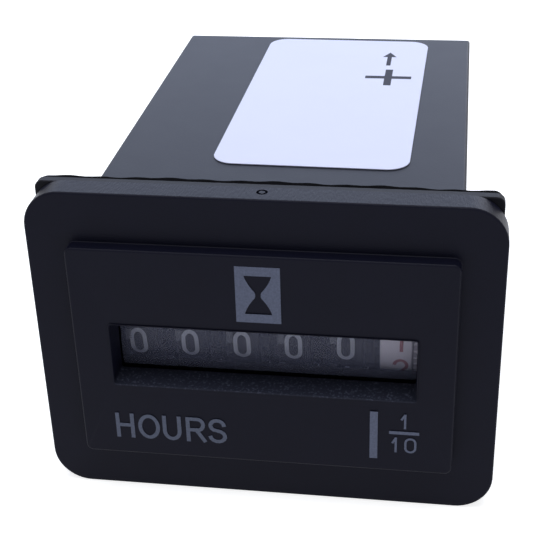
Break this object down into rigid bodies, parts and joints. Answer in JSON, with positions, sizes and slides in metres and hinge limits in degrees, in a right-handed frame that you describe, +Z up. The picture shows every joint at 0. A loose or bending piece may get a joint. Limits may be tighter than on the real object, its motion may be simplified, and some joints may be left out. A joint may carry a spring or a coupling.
{
  "type": "hour meter",
  "caption": "Panel-mounted hour meter: rectangular bezel with a raised panel and a window on number wheels, a long box housing behind it and two blade terminals.",
  "frame": {"origin": "middle of the underside of the overall box: level with the bezel's lower edge, halfway along the length", "axes": "+X to the right seen from the front, +Y from the bezel to the terminals, +Z up"},
  "size_m": [0.05, 0.0756, 0.037],
  "materials": {
    "black_plastic": "fine moulded grain, semi-matte",
    "clear_plastic": "clear, polished",
    "rubber": "matte",
    "label_film": "satin film",
    "black_wheel": "semi-matte",
    "white_wheel": "semi-matte",
    "natural_plastic": "natural acetal",
    "steel": "bright",
    "ferrite": "sintered, dull",
    "bobbin_plastic": "moulded",
    "copper": "enamelled copper wire",
    "board": "solder mask",
    "chip": "moulded epoxy",
    "capacitor_sleeve": "shrink sleeve",
    "resistor": "lacquer",
    "brass": "stamped"
  },
  "bodies": {
    "case": {"bezel": "black_plastic", "window_lens": "clear_plastic", "gasket": "rubber", "housing": "black_plastic", "label": "label_film", "counter_frame": "black_plastic", "side_plate": "black_plastic", "wheel_shaft": "steel", "pinion_shaft": "steel", "stator_plate": "steel", "coil_core": "steel", "coil_bobbin": "bobbin_plastic", "coil_winding": "copper", "stator_screw_front": "steel", "stator_screw_rear": "steel", "circuit_board": "board", "driver_chip": "chip", "quartz_crystal": "steel", "smoothing_capacitor": "capacitor_sleeve", "protection_diode": "chip", "series_resistor": "resistor", "terminal_positive": "brass", "terminal_negative": "brass", "board_screw_left": "steel", "board_screw_right": "steel", "coil_lead_left": "copper", "coil_lead_right": "copper"},
    "tenths": {"wheel_tenths": "white_wheel"},
    "units": {"wheel_units": "black_wheel"},
    "tens": {"wheel_tens": "black_wheel"},
    "hundreds": {"wheel_hundreds": "black_wheel"},
    "thousands": {"wheel_thousands": "black_wheel"},
    "ten_thousands": {"wheel_ten_thousands": "black_wheel"},
    "carry_units": {"pinion_units": "black_wheel"},
    "carry_tens": {"pinion_tens": "black_wheel"},
    "carry_hundreds": {"pinion_hundreds": "black_wheel"},
    "carry_thousands": {"pinion_thousands": "black_wheel"},
    "carry_ten_thousands": {"pinion_ten_thousands": "black_wheel"},
    "reduction": {"reduction_gear": "natural_plastic"},
    "rotor": {"rotor_pinion": "natural_plastic", "rotor_magnet": "ferrite"}
  },
  "joints": [
    {"name": "tenths_spin", "type": "hinge", "parent": "case", "child": "tenths", "pos_m": [0.0143, -0.0258, 0.0184], "axis": [1, 0, 0], "continuous": true},
    {"name": "units_spin", "type": "hinge", "parent": "case", "child": "units", "pos_m": [0.00858, -0.0258, 0.0184], "axis": [1, 0, 0], "continuous": true},
    {"name": "tens_spin", "type": "hinge", "parent": "case", "child": "tens", "pos_m": [0.00286, -0.0258, 0.0184], "axis": [1, 0, 0], "continuous": true},
    {"name": "hundreds_spin", "type": "hinge", "parent": "case", "child": "hundreds", "pos_m": [-0.00286, -0.0258, 0.0184], "axis": [1, 0, 0], "continuous": true},
    {"name": "thousands_spin", "type": "hinge", "parent": "case", "child": "thousands", "pos_m": [-0.00858, -0.0258, 0.0184], "axis": [1, 0, 0], "continuous": true},
    {"name": "ten_thousands_spin", "type": "hinge", "parent": "case", "child": "ten_thousands", "pos_m": [-0.0143, -0.0258, 0.0184], "axis": [1, 0, 0], "continuous": true},
    {"name": "carry_units_spin", "type": "hinge", "parent": "case", "child": "carry_units", "pos_m": [0.01144, -0.0258, 0.0105], "axis": [1, 0, 0], "continuous": true},
    {"name": "carry_tens_spin", "type": "hinge", "parent": "case", "child": "carry_tens", "pos_m": [0.00572, -0.0258, 0.0105], "axis": [1, 0, 0], "continuous": true},
    {"name": "carry_hundreds_spin", "type": "hinge", "parent": "case", "child": "carry_hundreds", "pos_m": [0, -0.0258, 0.0105], "axis": [1, 0, 0], "continuous": true},
    {"name": "carry_thousands_spin", "type": "hinge", "parent": "case", "child": "carry_thousands", "pos_m": [-0.00572, -0.0258, 0.0105], "axis": [1, 0, 0], "continuous": true},
    {"name": "carry_ten_thousands_spin", "type": "hinge", "parent": "case", "child": "carry_ten_thousands", "pos_m": [-0.01144, -0.0258, 0.0105], "axis": [1, 0, 0], "continuous": true},
    {"name": "reduction_spin", "type": "hinge", "parent": "case", "child": "reduction", "pos_m": [0.0149, -0.0177, 0.0184], "axis": [1, 0, 0], "continuous": true},
    {"name": "rotor_spin", "type": "hinge", "parent": "case", "child": "rotor", "pos_m": [0.0149, -0.0105, 0.0184], "axis": [1, 0, 0], "continuous": true}
  ],
  "couplings": [
    {"joint": "units_spin", "follows": "tenths_spin", "ratio": 0.1},
    {"joint": "tens_spin", "follows": "tenths_spin", "ratio": 0.01},
    {"joint": "hundreds_spin", "follows": "tenths_spin", "ratio": 0.001},
    {"joint": "thousands_spin", "follows": "tenths_spin", "ratio": 0.0001},
    {"joint": "ten_thousands_spin", "follows": "tenths_spin", "ratio": 0.00001},
    {"joint": "carry_units_spin", "follows": "tenths_spin", "ratio": -0.25},
    {"joint": "carry_tens_spin", "follows": "tenths_spin", "ratio": -0.025},
    {"joint": "carry_hundreds_spin", "follows": "tenths_spin", "ratio": -0.0025},
    {"joint": "carry_thousands_spin", "follows": "tenths_spin", "ratio": -0.00025},
    {"joint": "carry_ten_thousands_spin", "follows": "tenths_spin", "ratio": -0.000025},
    {"joint": "reduction_spin", "follows": "tenths_spin", "ratio": -5},
    {"joint": "rotor_spin", "follows": "tenths_spin", "ratio": 25}
  ]
}
